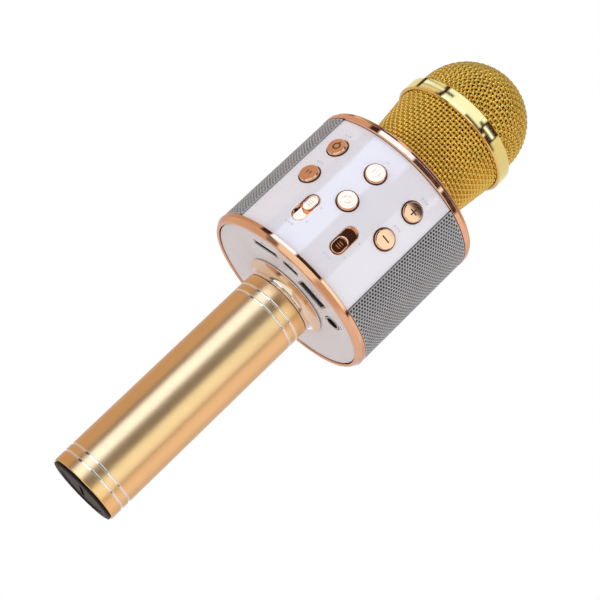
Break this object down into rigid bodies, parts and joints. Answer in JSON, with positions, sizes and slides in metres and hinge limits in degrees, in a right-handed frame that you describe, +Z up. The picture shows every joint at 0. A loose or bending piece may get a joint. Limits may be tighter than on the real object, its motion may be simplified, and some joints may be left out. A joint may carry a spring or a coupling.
{
  "type": "karaoke microphone",
  "caption": "Cordless karaoke microphone: gold handle, round speaker body with a white key panel, and a screw-on domed mesh head.",
  "frame": {"origin": "centre of the flat face of the end cap, where the upright microphone stands", "axes": "+Z up the microphone's axis to the head; the control panel faces -Y; +X is to the right seen from the front"},
  "size_m": [0.0802, 0.0802, 0.2459],
  "materials": {
    "satin_gold": "satin anodised, fine blasted grain",
    "rose_gold": "polished rose-gold plating",
    "yellow_gold_mesh": "woven wire, yellow-gold plated",
    "yellow_gold_band": "polished yellow-gold plating",
    "panel_white": "gloss, faint lavender tint",
    "plate_white": "semi-gloss",
    "grille_silver": "satin silver, perforated",
    "black_plastic": "matte",
    "grey_plastic": "matte",
    "rubber": "matte",
    "foam": "open-cell foam",
    "steel": "bright nickel-plated",
    "board_green": "solder mask",
    "cell_wrap": "shrink wrap",
    "paper_cone": "pressed paper"
  },
  "bodies": {
    "housing": {"handle_tube": "satin_gold", "battery_cell": "cell_wrap", "battery_sleeve": "grey_plastic", "neck_flange": "rose_gold", "neck_screw_1": "steel", "neck_screw_2": "steel", "neck_screw_3": "steel", "battery_lead": "rubber", "bottom_ring": "rose_gold", "bottom_plate": "plate_white", "usb_socket": "steel", "charge_socket": "steel", "card_socket": "steel", "audio_jack": "black_plastic", "speaker_grille": "grille_silver", "inner_drum": "grey_plastic", "front_panel": "panel_white", "key_board": "board_green", "main_board": "board_green", "slide_switch_left": "steel", "slide_switch_right": "steel", "speaker_frame_left": "steel", "speaker_frame_right": "steel", "speaker_magnet_left": "steel", "speaker_magnet_right": "steel", "top_ring": "rose_gold", "top_plate": "rose_gold", "capsule_holder": "rubber", "mic_capsule": "steel", "tact_switch_left_upper": "black_plastic", "tact_switch_left_lower": "black_plastic", "tact_switch_middle_upper": "black_plastic", "tact_switch_middle_lower": "black_plastic", "tact_switch_plus": "black_plastic", "tact_switch_minus": "black_plastic"},
    "cap_seal": {"cap_seal": "rubber"},
    "end_cap": {"end_cap": "black_plastic", "cap_spring": "steel"},
    "head_washer": {"head_washer": "rubber"},
    "head": {"head_collar": "steel", "lower_mesh": "yellow_gold_mesh", "head_band": "yellow_gold_band", "dome_mesh": "yellow_gold_mesh", "foam_windscreen": "foam"},
    "slide_knob_left": {"slide_knob_left": "rose_gold"},
    "slide_knob_right": {"slide_knob_right": "rose_gold"},
    "speaker_cone_left": {"speaker_cone_left": "paper_cone"},
    "speaker_cone_right": {"speaker_cone_right": "paper_cone"},
    "key_left_upper": {"key_left_upper": "rose_gold", "tact_plunger_left_upper": "steel"},
    "key_left_lower": {"key_left_lower": "rose_gold", "tact_plunger_left_lower": "steel"},
    "key_middle_upper": {"key_middle_upper": "rose_gold", "tact_plunger_middle_upper": "steel"},
    "key_middle_lower": {"key_middle_lower": "rose_gold", "tact_plunger_middle_lower": "steel"},
    "key_plus": {"key_plus": "rose_gold", "tact_plunger_plus": "steel"},
    "key_minus": {"key_minus": "rose_gold", "tact_plunger_minus": "steel"}
  },
  "joints": [
    {"name": "cap_rise", "type": "slide", "parent": "housing", "child": "cap_seal", "axis": [0, 0, -1], "range_m": [0, 0.0046]},
    {"name": "cap_turn", "type": "hinge", "parent": "cap_seal", "child": "end_cap", "pos_m": [0, 0, 0], "axis": [0, 0, -1], "range_deg": [0, 1080]},
    {"name": "head_rise", "type": "slide", "parent": "housing", "child": "head_washer", "axis": [0, 0, 1], "range_m": [0, 0.0046]},
    {"name": "head_turn", "type": "hinge", "parent": "head_washer", "child": "head", "pos_m": [0, 0, 0.18], "axis": [0, 0, 1], "range_deg": [0, 1080]},
    {"name": "press_left_upper", "type": "slide", "parent": "housing", "child": "key_left_upper", "axis": [0.471, 0.8821, 0], "range_m": [0, 0.0005], "stiffness_N_per_m": 2400, "springref_m": -0.0003},
    {"name": "press_left_lower", "type": "slide", "parent": "housing", "child": "key_left_lower", "axis": [0.471, 0.8821, 0], "range_m": [0, 0.0005], "stiffness_N_per_m": 2400, "springref_m": -0.0003},
    {"name": "press_middle_upper", "type": "slide", "parent": "housing", "child": "key_middle_upper", "axis": [0, 1, 0], "range_m": [0, 0.0005], "stiffness_N_per_m": 2400, "springref_m": -0.0003},
    {"name": "press_middle_lower", "type": "slide", "parent": "housing", "child": "key_middle_lower", "axis": [0, 1, 0], "range_m": [0, 0.0005], "stiffness_N_per_m": 2400, "springref_m": -0.0003},
    {"name": "press_plus", "type": "slide", "parent": "housing", "child": "key_plus", "axis": [-0.471, 0.8821, 0], "range_m": [0, 0.0005], "stiffness_N_per_m": 2400, "springref_m": -0.0003},
    {"name": "press_minus", "type": "slide", "parent": "housing", "child": "key_minus", "axis": [-0.471, 0.8821, 0], "range_m": [0, 0.0005], "stiffness_N_per_m": 2400, "springref_m": -0.0003},
    {"name": "slide_left", "type": "slide", "parent": "housing", "child": "slide_knob_left", "axis": [0, 0, 1], "range_m": [-0.005, 0]},
    {"name": "slide_right", "type": "slide", "parent": "housing", "child": "slide_knob_right", "axis": [0, 0, 1], "range_m": [0, 0.005]},
    {"name": "cone_left", "type": "slide", "parent": "housing", "child": "speaker_cone_left", "axis": [-1, 0, 0], "range_m": [-0.001, 0.001], "stiffness_N_per_m": 1000},
    {"name": "cone_right", "type": "slide", "parent": "housing", "child": "speaker_cone_right", "axis": [1, 0, 0], "range_m": [-0.001, 0.001], "stiffness_N_per_m": 1000}
  ],
  "couplings": [
    {"joint": "cap_rise", "follows": "cap_turn", "m_per_rad": 0.00023873},
    {"joint": "head_rise", "follows": "head_turn", "m_per_rad": 0.00023873}
  ]
}
